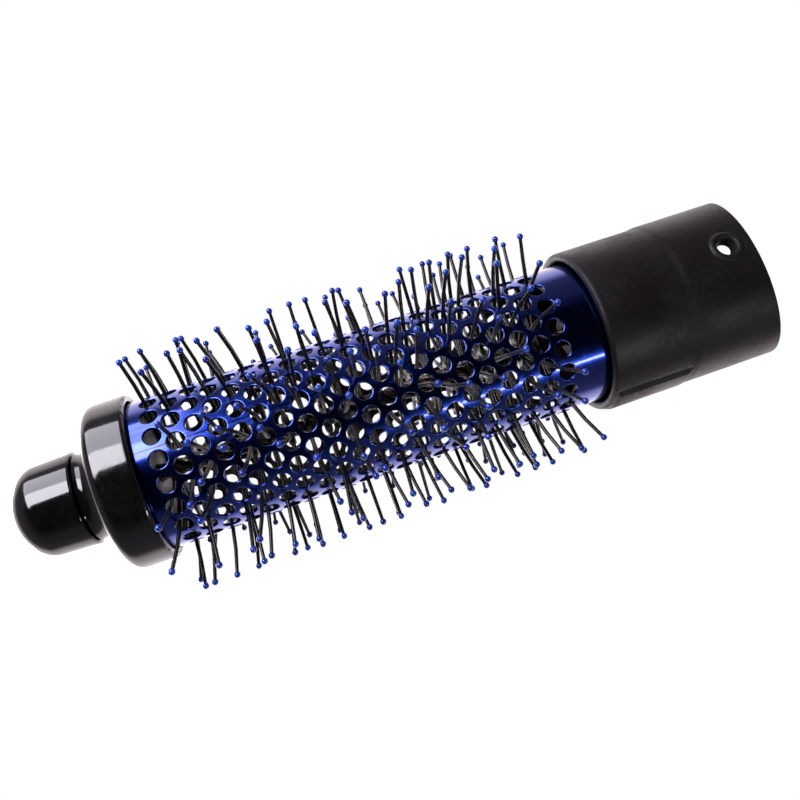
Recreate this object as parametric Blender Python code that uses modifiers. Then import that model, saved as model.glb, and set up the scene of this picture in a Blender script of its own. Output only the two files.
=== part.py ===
"""Barrel brush of a hot air styler: a perforated aluminium barrel with nylon bristles on a
twisted wire core, a cool tip that turns on the end cap, and the sleeve that locks on the handle.

The sleeve's open end, its mouth, is cut on a slant. The origin is on the barrel's axis, level
with the mouth's longest side, and +Z runs along the barrel to the cool tip. Angles round the barrel are counted from -Y towards +X.
"""
import math
import random

import bmesh
import bpy
from mathutils import Matrix, Vector

MM = 0.001

# ---- Driving sizes ----------------------------------------------------------------------------
# Barrel: a sheet with staggered rings of round holes, rolled into a tube
BARREL_RADIUS = 16.0 * MM
BARREL_WALL = 0.6 * MM
BARREL_SHOWN = 97.4 * MM            # from the sleeve's rim to the end cap's lip
HOLE_RADIUS = 2.0 * MM
HOLE_SPACING = 5.03 * MM            # round the barrel, about, so that a whole number fits
RING_PITCH = 4.185 * MM
FIRST_RING_ABOVE_SLEEVE = 9.28 * MM
LAST_RING_BELOW_CAP = 4.3 * MM      # the least that stays plain under the end cap
FIRST_RING_TURN = math.radians(9.3)

# Bristles and the wire core that grips them
BRISTLE_REACH = 10.0 * MM           # from the barrel's surface to a bristle's tip
BRISTLE_WIDTH = 0.85 * MM
BRISTLE_SHARE = 0.6                 # of a ring's holes
HOLES_DRAWN = 5                     # neighbouring holes that this share is drawn from
END_BARE_FROM = math.radians(-18.0)  # the end rings' holes are empty from this turn
END_BARE_TO = math.radians(54.0)    # to this one
BRISTLE_SEED = 7
TIP_SCATTER = 2.1 * MM              # how far a tip lies from straight above its hole
ROW_FAN = 2.0 * MM                  # how far the end rows' tips spread towards the ends
HOLE_CLEARANCE = 0.43 * MM          # from a bristle that leans to its hole's edge
HUB_HEIGHT = 1.5 * MM
HUB_WALL = 1.3 * MM
CORE_RADIUS = 1.9 * MM

# Sleeve that slips over the handle's nozzle
SLEEVE_LENGTH = 46.8 * MM           # on its longest side
MOUTH_RISE = 0.26                   # of the slanted mouth, for each length across
MOUTH_TURN = math.radians(20.0)     # where the sleeve is shortest
SLEEVE_CLEARANCE = 0.6 * MM         # from the barrel to the sleeve's bore
SLEEVE_FRONT_WALL = 1.85 * MM
SLEEVE_REAR_WALL = 2.1 * MM
SLEEVE_STEP_HEIGHT = 26.2 * MM      # where the rear's thicker wall starts
SLEEVE_STEP_RISE = 2.0 * MM
SHELF_THICKNESS = 3.0 * MM          # the ring inside the sleeve that the collar is screwed to
SHELF_WIDTH = 3.2 * MM
LATCH_HOLE_RADIUS = 2.1 * MM
LATCH_HOLE_HEIGHT = 15.5 * MM
LATCH_HOLE_TURN = math.radians(23.0)
LATCH_LIP_WIDTH = 1.3 * MM
LATCH_LIP_RISE = 0.25 * MM

# Collar that carries the barrel's rear end, and the spider in it that carries the core
COLLAR_TOP_ABOVE_SLEEVE = 6.6 * MM
COLLAR_WALL = 1.8 * MM
COLLAR_FLANGE_HEIGHT = 6.9 * MM     # below the barrel's rear end
BARREL_IN_SLEEVE = 4.3 * MM
SPIDER_LEDGE = 0.8 * MM             # what the spider rests on inside the collar
WEB_THICKNESS = 4.0 * MM
AIR_HOLES = 6
AIR_HOLE_MARGIN = 0.85 * MM         # to the hub and to the collar's wall
HUB_BOSS_WALL = 2.4 * MM
LOCK_WASHER_THICKNESS = 0.8 * MM
SCREW_COUNT = 4
SCREW_RADIUS = 0.9 * MM
SCREW_HEAD_RADIUS = 1.4 * MM
SCREW_HEAD_HEIGHT = 1.1 * MM
SCREW_BITE = 4.5 * MM               # the length of thread in the collar

# End cap: flange, neck and the spigot inside the barrel
CAP_OVERHANG = 2.15 * MM            # beyond the barrel
CAP_SIDE = 8.4 * MM                 # from the lip to the front face's outer edge
CAP_FACE_RISE = 1.9 * MM
CAP_EDGE = 1.3 * MM
CAP_LIP_DEPTH = 2.8 * MM            # how far the barrel enters the cap
CAP_WALL = 1.6 * MM
SPIGOT_REACH = 2.4 * MM             # how far the spigot goes below the lip
NECK_SHOULDER = 4.9 * MM            # beyond the spindle
NECK_FLARE = 6.3 * MM               # how far the neck's foot widens over the face
NECK_FLARE_RISE = 4.8 * MM
NECK_LENGTH = 3.6 * MM
SPINDLE_RADIUS = 4.5 * MM
SPINDLE_LENGTH = 4.0 * MM
CORE_PLUG_THICKNESS = 3.5 * MM
CORE_PLUG_RECESS = 1.3 * MM

# Cool tip and the screw that it turns with
KNOB_RADIUS = 10.15 * MM            # at its lower edge
KNOB_DRAFT = 0.3 * MM               # how much narrower its side is where the dome starts
KNOB_SIDE = 7.9 * MM
KNOB_DOME = 6.9 * MM
KNOB_EDGE = 0.8 * MM
SCREW_HEAD_TAPER = 0.6              # a screw head's top, as a share of its width
TIP_SCREW_RADIUS = 2.0 * MM
TIP_SCREW_HEAD_RADIUS = 3.6 * MM
TIP_SCREW_HEAD_HEIGHT = 2.0 * MM
TIP_SCREW_BITE = 4.8 * MM
TIP_WASHER_RADIUS = 5.0 * MM
TIP_WASHER_THICKNESS = 0.6 * MM

# ---- Clearances and fineness ------------------------------------------------------------------
GAP = 0.3 * MM                      # between pieces that touch or turn on each other
ROLL_GAP = 0.45 * MM                # to the rolled barrel, which isn't quite round
FLANGE_GAP = 0.4 * MM               # round the collar's flange
MERGE = 0.00001
BELOW_MOUTH = 2.0 * MM              # what the sleeve is made longer by, and then cut off
TURN_STEPS = 36
COLLAR_STEPS = 30
SMALL_STEPS = 18
HOLE_STEPS = 12
CUTTER_TURN = 0.37                  # of a step
ROUND_POINTS = 3                    # straight pieces in a rounded edge
DOME_POINTS = 7

# ---- Sizes and heights that follow ------------------------------------------------------------
HOLES_PER_RING = round(2 * math.pi * BARREL_RADIUS / HOLE_SPACING)
BRISTLE_TIP_RADIUS = BARREL_RADIUS + BRISTLE_REACH
BRISTLE_CORNER = BRISTLE_WIDTH / math.sqrt(2)
HOLE_FLAT_RADIUS = HOLE_RADIUS * math.cos(math.pi / 6)
HOLE_SCATTER = HOLE_FLAT_RADIUS - BRISTLE_CORNER - HOLE_CLEARANCE
SOCKET_RADIUS = BARREL_RADIUS + SLEEVE_CLEARANCE
SLEEVE_FRONT_RADIUS = SOCKET_RADIUS + SLEEVE_FRONT_WALL
SLEEVE_REAR_RADIUS = SOCKET_RADIUS + SLEEVE_REAR_WALL
MOUTH_MIDDLE_Z = MOUTH_RISE * SLEEVE_REAR_RADIUS
SHELF_INNER_RADIUS = SOCKET_RADIUS - SHELF_WIDTH
COLLAR_FLANGE_RADIUS = SOCKET_RADIUS - FLANGE_GAP
HUB_BOSS_RADIUS = CORE_RADIUS + GAP + HUB_BOSS_WALL
LATCH_LIP_RADIUS = LATCH_HOLE_RADIUS + LATCH_LIP_WIDTH
CAP_RADIUS = BARREL_RADIUS + CAP_OVERHANG
NECK_RADIUS = SPINDLE_RADIUS + NECK_SHOULDER
CAP_LIP_Z = SLEEVE_LENGTH + BARREL_SHOWN
BARREL_BOTTOM_Z = SLEEVE_LENGTH - BARREL_IN_SLEEVE
BARREL_TOP_Z = CAP_LIP_Z + CAP_LIP_DEPTH
BARREL_INNER_RADIUS = BARREL_RADIUS - BARREL_WALL
SEAT_RADIUS = BARREL_INNER_RADIUS - ROLL_GAP    # of what stands inside the barrel
RING_SPAN = BARREL_SHOWN - FIRST_RING_ABOVE_SLEEVE - LAST_RING_BELOW_CAP
RINGS = int(RING_SPAN / RING_PITCH) + 1
FIRST_RING_Z = SLEEVE_LENGTH + FIRST_RING_ABOVE_SLEEVE
COLLAR_TOP_Z = SLEEVE_LENGTH + COLLAR_TOP_ABOVE_SLEEVE
COLLAR_SHOULDER_Z = BARREL_BOTTOM_Z - GAP
COLLAR_BOTTOM_Z = COLLAR_SHOULDER_Z - COLLAR_FLANGE_HEIGHT
COLLAR_INNER_RADIUS = SEAT_RADIUS - COLLAR_WALL
SHELF_TOP_Z = COLLAR_BOTTOM_Z - GAP
SOCKET_DEPTH = SHELF_TOP_Z - SHELF_THICKNESS
WEB_BOTTOM_Z = COLLAR_SHOULDER_Z + LOCK_WASHER_THICKNESS
WEB_TOP_Z = WEB_BOTTOM_Z + WEB_THICKNESS
SPIGOT_INNER_RADIUS = SEAT_RADIUS - CAP_WALL
SPIGOT_BOTTOM_Z = CAP_LIP_Z - SPIGOT_REACH
PLUG_BOTTOM_Z = SPIGOT_BOTTOM_Z + CORE_PLUG_RECESS
PLUG_TOP_Z = PLUG_BOTTOM_Z + CORE_PLUG_THICKNESS
CAP_FACE_EDGE_Z = CAP_LIP_Z + CAP_SIDE
CAP_FACE_Z = CAP_FACE_EDGE_Z + CAP_FACE_RISE
CAP_ROOF_Z = CAP_FACE_EDGE_Z - CAP_WALL
NECK_TOP_Z = CAP_FACE_Z + NECK_LENGTH
SPINDLE_TOP_Z = NECK_TOP_Z + SPINDLE_LENGTH
KNOB_BOTTOM_Z = NECK_TOP_Z + GAP
KNOB_DOME_Z = KNOB_BOTTOM_Z + KNOB_SIDE
TIP_Z = KNOB_DOME_Z + KNOB_DOME
CORE_BOTTOM_Z = WEB_BOTTOM_Z - LOCK_WASHER_THICKNESS - GAP
CORE_TOP_Z = PLUG_TOP_Z


# ---- Tools ------------------------------------------------------------------------------------
def clear_scene():
    for old in list(bpy.data.objects):
        bpy.data.objects.remove(old)


def make_collection(name):
    made = bpy.data.collections.new(name)
    bpy.context.scene.collection.children.link(made)
    return made


def finish(name, colour, roughness, metallic=0.0):
    """A Principled material."""
    made = bpy.data.materials.new(name)
    made.use_nodes = True
    shader = made.node_tree.nodes["Principled BSDF"]
    shader.inputs["Base Color"].default_value = (*colour, 1.0)
    shader.inputs["Roughness"].default_value = roughness
    shader.inputs["Metallic"].default_value = metallic
    made.diffuse_color = (*colour, 1.0)
    return made


def add_object(name, mesh, material, collection):
    made = bpy.data.objects.new(name, mesh)
    collection.objects.link(made)
    if material is not None:
        mesh.materials.append(material)
    return made


def as_cutter(made):
    made.hide_render = True
    made.display_type = "WIRE"
    return made


def mesh_of(work, name):
    mesh = bpy.data.meshes.new(name)
    work.to_mesh(mesh)
    work.free()
    return mesh


def smooth(mesh, angle=math.radians(35.0)):
    mesh.shade_smooth()
    mesh.set_sharp_from_angle(angle=angle)


def around(turn, radius, height=0.0):
    """The point at this angle round the axis, counted from -Y towards +X."""
    return Vector((radius * math.sin(turn), -radius * math.cos(turn), height))


def rounded(centre_r, centre_z, radius, start, end, points=ROUND_POINTS):
    """Points of an arc in a profile's plane. Angles in degrees, 0 outwards and 90 up."""
    arc = []
    for i in range(points + 1):
        angle = math.radians(start + (end - start) * i / points)
        arc.append((centre_r + radius * math.cos(angle), centre_z + radius * math.sin(angle)))
    return arc


def turned(name, profile, material, collection, steps=TURN_STEPS, ring=True):
    """A profile of (radius, height) points, top to bottom down the outer side, turned about Z.

    A ring's profile is closed; any other starts and ends on the axis.
    """
    mesh = bpy.data.meshes.new(name)
    corners = [(radius, 0.0, height) for radius, height in profile]
    edges = [(i, i + 1) for i in range(len(corners) - 1)]
    if ring:
        edges.append((len(corners) - 1, 0))
    mesh.from_pydata(corners, edges, [])
    made = add_object(name, mesh, material, collection)
    screw = made.modifiers.new("Turn", "SCREW")
    screw.axis = "Z"
    screw.steps = steps
    screw.render_steps = steps
    screw.use_merge_vertices = True
    screw.merge_threshold = MERGE
    screw.use_smooth_shade = True
    return made


def round_cutter(name, radius, depth, collection, steps=HOLE_STEPS):
    """A cylinder along its own Z, centred on its origin, for cutting or joining.

    It is turned by part of a step, so that no corner of it lies on a corner of what it cuts.
    """
    work = bmesh.new()
    bmesh.ops.create_cone(
        work, cap_ends=True, segments=steps, radius1=radius, radius2=radius, depth=depth,
        matrix=Matrix.Rotation(CUTTER_TURN * 2 * math.pi / steps, 4, "Z"),
    )
    return as_cutter(add_object(name, mesh_of(work, name), None, collection))


def combine(made, other, operation):
    boolean = made.modifiers.new(other.name, "BOOLEAN")
    boolean.operation = operation
    boolean.object = other
    boolean.solver = "EXACT"


def point_outwards(made, turn, radius, height):
    """Lays an object's own Z along the radius at this angle, with its origin at that point."""
    outwards = around(turn, 1.0)
    made.rotation_euler = outwards.to_track_quat("Z", "X").to_euler()
    made.location = around(turn, radius, height)


# ---- Sleeve -----------------------------------------------------------------------------------
def make_sleeve(parts, cutters, black):
    rim_middle = (SLEEVE_FRONT_RADIUS + SOCKET_RADIUS) / 2
    rim_round = (SLEEVE_FRONT_RADIUS - SOCKET_RADIUS) / 2
    profile = rounded(rim_middle, SLEEVE_LENGTH - rim_round, rim_round, 90.0, 0.0)
    profile.append((SLEEVE_FRONT_RADIUS, SLEEVE_STEP_HEIGHT + SLEEVE_STEP_RISE))
    profile.append((SLEEVE_REAR_RADIUS, SLEEVE_STEP_HEIGHT))
    profile.append((SLEEVE_REAR_RADIUS, -BELOW_MOUTH))
    profile.append((SOCKET_RADIUS, -BELOW_MOUTH))
    profile.append((SOCKET_RADIUS, SOCKET_DEPTH))
    profile.append((SHELF_INNER_RADIUS, SOCKET_DEPTH))
    profile.append((SHELF_INNER_RADIUS, SHELF_TOP_Z))
    profile.append((SOCKET_RADIUS, SHELF_TOP_Z))
    profile.append((SOCKET_RADIUS, SLEEVE_LENGTH - rim_round))
    sleeve = turned("grip_sleeve", profile, black, parts)

    # The slanted mouth
    block = 6 * SLEEVE_REAR_RADIUS
    work = bmesh.new()
    bmesh.ops.create_cube(work, size=block)
    below = as_cutter(add_object("below_mouth", mesh_of(work, "below_mouth"), None, cutters))
    upwards = Vector((0.0, 0.0, 1.0)) - around(MOUTH_TURN, MOUTH_RISE)
    upwards.normalize()
    below.rotation_euler = upwards.to_track_quat("Z", "X").to_euler()
    below.location = Vector((0.0, 0.0, MOUTH_MIDDLE_Z)) - upwards * block / 2
    combine(sleeve, below, "DIFFERENCE")

    # The lip round the latch hole, and the hole
    wall_middle = (SLEEVE_REAR_RADIUS + SOCKET_RADIUS) / 2
    lip_top = SLEEVE_REAR_RADIUS + LATCH_LIP_RISE
    lip = round_cutter("latch_lip", LATCH_LIP_RADIUS, lip_top - wall_middle, cutters, SMALL_STEPS)
    point_outwards(lip, LATCH_HOLE_TURN, (lip_top + wall_middle) / 2, LATCH_HOLE_HEIGHT)
    combine(sleeve, lip, "UNION")
    through = 3 * (lip_top - SOCKET_RADIUS)
    hole = round_cutter("latch_hole_cutter", LATCH_HOLE_RADIUS, through, cutters, SMALL_STEPS)
    point_outwards(hole, LATCH_HOLE_TURN, wall_middle, LATCH_HOLE_HEIGHT)
    combine(sleeve, hole, "DIFFERENCE")

    for i, turn in enumerate(screw_turns()):
        cutter = round_cutter(
            f"shelf_hole_{i + 1}", SCREW_RADIUS + GAP, 2 * SHELF_THICKNESS, cutters
        )
        cutter.location = around(turn, screw_circle(), SOCKET_DEPTH + SHELF_THICKNESS / 2)
        combine(sleeve, cutter, "DIFFERENCE")
    return sleeve


# ---- Collar, spider, their screws and the lock washer ---------------------------------------------------
def screw_turns():
    return [2 * math.pi * i / SCREW_COUNT for i in range(SCREW_COUNT)]


def screw_circle():
    return (SHELF_INNER_RADIUS + SOCKET_RADIUS) / 2


def make_collar(parts, cutters, black):
    """A stepped tube: the barrel slips over it, and its flange stands on the sleeve's shelf."""
    ledge = COLLAR_INNER_RADIUS - SPIDER_LEDGE
    profile = [
        (SEAT_RADIUS, COLLAR_TOP_Z),
        (SEAT_RADIUS, COLLAR_SHOULDER_Z),
        (COLLAR_FLANGE_RADIUS, COLLAR_SHOULDER_Z),
        (COLLAR_FLANGE_RADIUS, COLLAR_BOTTOM_Z),
        (ledge, COLLAR_BOTTOM_Z),
        (ledge, WEB_BOTTOM_Z - GAP),
        (COLLAR_INNER_RADIUS, WEB_BOTTOM_Z - GAP),
        (COLLAR_INNER_RADIUS, COLLAR_TOP_Z),
    ]
    collar = turned("rear_collar", profile, black, parts, COLLAR_STEPS)
    depth = SCREW_BITE + GAP
    for i, turn in enumerate(screw_turns()):
        cutter = round_cutter(f"screw_hole_{i + 1}", SCREW_RADIUS + GAP, 2 * depth, cutters)
        cutter.location = around(turn, screw_circle(), COLLAR_BOTTOM_Z)
        combine(collar, cutter, "DIFFERENCE")
    return collar


def make_spider(parts, cutters, black):
    """The disc in the collar with the core's hub, and holes that let the air through."""
    outer = COLLAR_INNER_RADIUS - GAP
    bore = CORE_RADIUS + GAP
    boss_top = WEB_TOP_Z + WEB_THICKNESS / 2
    profile = [
        (HUB_BOSS_RADIUS, boss_top),
        (HUB_BOSS_RADIUS, WEB_TOP_Z),
        (outer, WEB_TOP_Z),
        (outer, WEB_BOTTOM_Z),
        (bore, WEB_BOTTOM_Z),
        (bore, boss_top),
    ]
    spider = turned("air_spider", profile, black, parts, COLLAR_STEPS)
    air_radius = (outer - HUB_BOSS_RADIUS) / 2 - AIR_HOLE_MARGIN
    air_circle = (outer + HUB_BOSS_RADIUS) / 2
    for i in range(AIR_HOLES):
        cutter = round_cutter(f"air_hole_{i + 1}", air_radius, 3 * WEB_THICKNESS, cutters)
        turn = 2 * math.pi * (i + 0.5) / AIR_HOLES
        cutter.location = around(turn, air_circle, (WEB_BOTTOM_Z + WEB_TOP_Z) / 2)
        combine(spider, cutter, "DIFFERENCE")
    return spider


def make_collar_screws(parts, steel):
    head_top = SOCKET_DEPTH - GAP
    profile = [
        (0.0, COLLAR_BOTTOM_Z + SCREW_BITE),
        (SCREW_RADIUS, COLLAR_BOTTOM_Z + SCREW_BITE),
        (SCREW_RADIUS, head_top),
        (SCREW_HEAD_RADIUS, head_top),
        (SCREW_HEAD_RADIUS, head_top - SCREW_HEAD_HEIGHT / 2),
        (SCREW_HEAD_TAPER * SCREW_HEAD_RADIUS, head_top - SCREW_HEAD_HEIGHT),
        (0.0, head_top - SCREW_HEAD_HEIGHT),
    ]
    for i, turn in enumerate(screw_turns()):
        screw = turned(f"collar_screw_{i + 1}", profile, steel, parts, HOLE_STEPS, ring=False)
        screw.location = around(turn, screw_circle())


def make_lock_washer(parts, steel):
    top = WEB_BOTTOM_Z - GAP
    bottom = top - LOCK_WASHER_THICKNESS
    outer = HUB_BOSS_RADIUS
    inner = CORE_RADIUS + GAP
    profile = [(outer, top), (outer, bottom), (inner, bottom), (inner, top)]
    return turned("core_lock_washer", profile, steel, parts, SMALL_STEPS)


# ---- Wire core and bristles -------------------------------------------------------------------
def make_core(parts, steel):
    """The stem of twisted wire, as the plain round bar that it turns in."""
    profile = [
        (0.0, CORE_TOP_Z),
        (CORE_RADIUS, CORE_TOP_Z),
        (CORE_RADIUS, CORE_BOTTOM_Z),
        (0.0, CORE_BOTTOM_Z),
    ]
    return turned("wire_core", profile, steel, parts, SMALL_STEPS, ring=False)


def hole_turn(ring, place):
    """The angle of a hole: each ring is turned half a space from the one below."""
    space = 2 * math.pi / HOLES_PER_RING
    return FIRST_RING_TURN + (place - 0.5 * (ring % 2)) * space


def ring_height(ring):
    return FIRST_RING_Z + ring * RING_PITCH


def bristle_rings():
    """The rings that stand clear of the collar and of the end cap's spigot."""
    room = BRISTLE_WIDTH / 2 + HOLE_SCATTER + GAP
    low = COLLAR_TOP_Z + room
    high = SPIGOT_BOTTOM_Z - room
    return [ring for ring in range(RINGS) if low < ring_height(ring) < high]


def bristle_places(ring, draw):
    """The holes of a ring that carry bristles: a share of every few neighbours, drawn at
    random, less the bare part of the first and last rings."""
    places = []
    for start in range(0, HOLES_PER_RING, HOLES_DRAWN):
        neighbours = range(start, min(start + HOLES_DRAWN, HOLES_PER_RING))
        places += sorted(draw.sample(neighbours, round(BRISTLE_SHARE * len(neighbours))))
    if 0 < ring < RINGS - 1:
        return places
    bare = END_BARE_TO - END_BARE_FROM
    return [p for p in places if (hole_turn(ring, p) - END_BARE_FROM) % (2 * math.pi) > bare]


def bristles_of(ring):
    """Each bristle of a row as (turn of its hole, place in the hole, place of its tip).

    The last two are (along the axis, round the barrel) offsets. A bristle leans at random, the
    way it passes its hole, and the rows fan out towards both ends.
    """
    draw = random.Random(BRISTLE_SEED + ring)
    fan = ROW_FAN * (2 * ring / (RINGS - 1) - 1)
    row = []
    for place in bristle_places(ring, draw):
        lean_turn = draw.uniform(0.0, 2 * math.pi)
        lean = math.sqrt(draw.random())
        along = lean * math.cos(lean_turn)
        across = lean * math.sin(lean_turn)
        at_hole = (HOLE_SCATTER * along, HOLE_SCATTER * across)
        at_tip = (TIP_SCATTER * along + fan, TIP_SCATTER * across)
        row.append((hole_turn(ring, place), at_hole, at_tip))
    return row


def middle_turns(turns):
    """The angles halfway between neighbours, the first being just before the first turn."""
    before = [turns[-1] - 2 * math.pi] + turns[:-1]
    return [(a + b) / 2 for a, b in zip(before, turns)]


def make_bristle_row(name, ring, parts, nylon):
    """A thin hub round the core, whose side faces are each drawn out into one bristle."""
    row = bristles_of(ring)
    height = ring_height(ring)
    corners = middle_turns([turn for turn, _, _ in row])
    # The flats of the hub's many-sided bore, not its corners, stand off the core
    around_again = corners[1:] + [corners[0] + 2 * math.pi]
    widest = max(b - a for a, b in zip(corners, around_again))
    inner = (CORE_RADIUS + GAP) / math.cos(widest / 2)
    work = bmesh.new()
    low = height - HUB_HEIGHT / 2
    outer_ring = [work.verts.new(around(turn, inner + HUB_WALL, low)) for turn in corners]
    inner_ring = [work.verts.new(around(turn, inner, low)) for turn in corners]
    count = len(corners)
    for i in range(count):
        j = (i + 1) % count
        work.faces.new((outer_ring[i], outer_ring[j], inner_ring[j], inner_ring[i]))
    grown = bmesh.ops.extrude_face_region(work, geom=work.faces[:])
    top = [item for item in grown["geom"] if isinstance(item, bmesh.types.BMVert)]
    bmesh.ops.translate(work, vec=(0.0, 0.0, HUB_HEIGHT), verts=top)
    bmesh.ops.recalc_face_normals(work, faces=work.faces[:])
    for i, (turn, at_hole, at_tip) in enumerate(row):
        ends = {outer_ring[i], outer_ring[(i + 1) % count]}
        side = next(f for f in work.faces if ends <= set(f.verts) and abs(f.normal.z) < 0.5)
        for reach, offset in ((BARREL_RADIUS, at_hole), (BRISTLE_TIP_RADIUS, at_tip)):
            side = draw_out(work, side, turn, reach, height, offset)
    return add_object(name, mesh_of(work, name), nylon, parts)


def draw_out(work, side, turn, reach, height, offset):
    """Extrudes a face to a square, bristle-wide one that faces outwards, and returns it."""
    along, across = offset
    grown = bmesh.ops.extrude_discrete_faces(work, faces=[side])["faces"][0]
    outwards = around(turn, 1.0)
    sideways = Vector((math.cos(turn), math.sin(turn), 0.0))
    centre = outwards * reach + sideways * across + Vector((0.0, 0.0, height + along))
    middle = grown.calc_center_median()
    half = BRISTLE_WIDTH / 2
    for corner in grown.verts:
        from_middle = corner.co - middle
        side_way = math.copysign(half, from_middle.dot(sideways))
        up_way = math.copysign(half, from_middle.z)
        corner.co = centre + sideways * side_way + Vector((0.0, 0.0, up_way))
    return grown


# ---- Perforated barrel ------------------------------------------------------------------------
def make_barrel(parts, aluminium):
    """A rolled sheet: a net of triangles with a corner at each hole's centre.

    Each corner is bevelled back to the hole's radius, which leaves a six-sided face that is
    removed, and the sheet is given its wall inwards.
    """
    rows = [BARREL_BOTTOM_Z] + [ring_height(ring) for ring in range(RINGS)] + [BARREL_TOP_Z]
    work = bmesh.new()
    net = []
    for i, height in enumerate(rows):
        turns = [hole_turn(i - 1, place) for place in range(HOLES_PER_RING)]
        net.append([work.verts.new(around(turn, BARREL_RADIUS, height)) for turn in turns])
    for i in range(len(net) - 1):
        low, high = net[i], net[i + 1]
        for k in range(HOLES_PER_RING):
            n = (k + 1) % HOLES_PER_RING
            # The upper row is turned half a space on or half a space back
            over = high[k] if i % 2 == 0 else high[n]
            work.faces.new((low[k], low[n], over))
            if i % 2 == 0:
                work.faces.new((low[n], high[n], high[k]))
            else:
                work.faces.new((low[k], high[n], high[k]))
    rims = [edge for edge in work.edges if edge.is_boundary]
    bmesh.ops.subdivide_edges(work, edges=rims, cuts=1)
    centres = [corner for corner in work.verts if not corner.is_boundary]
    made = bmesh.ops.bevel(
        work, geom=centres, offset=HOLE_RADIUS, offset_type="OFFSET", segments=1,
        affect="VERTICES", clamp_overlap=False,
    )
    holes = [face for face in made["faces"] if face.is_valid and len(face.verts) == 6]
    bmesh.ops.delete(work, geom=holes, context="FACES")
    for corner in work.verts:
        flat = Vector((corner.co.x, corner.co.y, 0.0))
        corner.co = flat.normalized() * BARREL_RADIUS + Vector((0.0, 0.0, corner.co.z))
    bmesh.ops.recalc_face_normals(work, faces=work.faces[:])
    barrel = add_object("perforated_barrel", mesh_of(work, "perforated_barrel"), aluminium, parts)
    wall = barrel.modifiers.new("Wall", "SOLIDIFY")
    wall.thickness = BARREL_WALL
    wall.offset = -1.0
    return barrel


# ---- End cap and core plug --------------------------------------------------------------------
def make_end_cap(parts, black):
    lip_inner = BARREL_RADIUS + ROLL_GAP
    lip_round = (CAP_RADIUS - lip_inner) / 2
    screw_bore = TIP_SCREW_RADIUS + GAP
    profile = [
        (SPINDLE_RADIUS, SPINDLE_TOP_Z),
        (SPINDLE_RADIUS, NECK_TOP_Z),
        (NECK_RADIUS, NECK_TOP_Z),
    ]
    flare_r = NECK_RADIUS + NECK_FLARE
    flare_z = CAP_FACE_EDGE_Z + NECK_FLARE_RISE
    for degrees in (180, 202, 224, 246, 268):
        angle = math.radians(degrees)
        out = flare_r + NECK_FLARE * math.cos(angle)
        profile.append((out, flare_z + NECK_FLARE_RISE * math.sin(angle)))
    profile += rounded(CAP_RADIUS - CAP_EDGE, CAP_FACE_EDGE_Z - CAP_EDGE, CAP_EDGE, 78.0, 0.0)
    profile += rounded(CAP_RADIUS - lip_round, CAP_LIP_Z + lip_round, lip_round, 0.0, -180.0)
    groove_top = BARREL_TOP_Z + GAP
    profile += [
        (lip_inner, groove_top),
        (SEAT_RADIUS, groove_top),
        (SEAT_RADIUS, SPIGOT_BOTTOM_Z),
        (SPIGOT_INNER_RADIUS, SPIGOT_BOTTOM_Z),
        (SPIGOT_INNER_RADIUS, CAP_ROOF_Z),
        (screw_bore, CAP_ROOF_Z),
        (screw_bore, SPINDLE_TOP_Z),
    ]
    return turned("end_cap", profile, black, parts)


def make_core_plug(parts, black):
    """The disc inside the spigot that holds the core's front end."""
    outer = SPIGOT_INNER_RADIUS - GAP
    inner = CORE_RADIUS + GAP
    profile = [
        (outer, PLUG_TOP_Z),
        (outer, PLUG_BOTTOM_Z),
        (inner, PLUG_BOTTOM_Z),
        (inner, PLUG_TOP_Z),
    ]
    return turned("front_core_plug", profile, black, parts)


# ---- Cool tip ---------------------------------------------------------------------------------
def make_knob(parts, black):
    profile = []
    for i in range(DOME_POINTS + 1):
        angle = math.pi / 2 * (1 - i / DOME_POINTS)
        radius = (KNOB_RADIUS - KNOB_DRAFT) * math.cos(angle) if i else 0.0
        profile.append((radius, KNOB_DOME_Z + KNOB_DOME * math.sin(angle)))
    profile += rounded(KNOB_RADIUS - KNOB_EDGE, KNOB_BOTTOM_Z + KNOB_EDGE, KNOB_EDGE, 0.0, -90.0, 3)
    bearing = SPINDLE_RADIUS + GAP
    screw_bore = TIP_SCREW_RADIUS + GAP
    screw_end = SPINDLE_TOP_Z + TIP_SCREW_BITE
    profile += [
        (bearing, KNOB_BOTTOM_Z),
        (bearing, SPINDLE_TOP_Z + GAP),
        (screw_bore, SPINDLE_TOP_Z + GAP),
        (screw_bore, screw_end + GAP),
        (0.0, screw_end + GAP),
    ]
    return turned("cool_tip", profile, black, parts, ring=False)


def make_tip_screw(parts, steel):
    head_top = CAP_ROOF_Z - 2 * GAP - TIP_WASHER_THICKNESS
    end = SPINDLE_TOP_Z + TIP_SCREW_BITE
    profile = [
        (0.0, end),
        (TIP_SCREW_RADIUS, end),
        (TIP_SCREW_RADIUS, head_top),
        (TIP_SCREW_HEAD_RADIUS, head_top),
        (TIP_SCREW_HEAD_RADIUS, head_top - TIP_SCREW_HEAD_HEIGHT / 2),
        (SCREW_HEAD_TAPER * TIP_SCREW_HEAD_RADIUS, head_top - TIP_SCREW_HEAD_HEIGHT),
        (0.0, head_top - TIP_SCREW_HEAD_HEIGHT),
    ]
    return turned("tip_screw", profile, steel, parts, SMALL_STEPS, ring=False)


def make_tip_washer(parts, steel):
    top = CAP_ROOF_Z - GAP
    bottom = top - TIP_WASHER_THICKNESS
    inner = TIP_SCREW_RADIUS + GAP
    profile = [
        (TIP_WASHER_RADIUS, top),
        (TIP_WASHER_RADIUS, bottom),
        (inner, bottom),
        (inner, top),
    ]
    return turned("tip_washer", profile, steel, parts, SMALL_STEPS)


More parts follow.
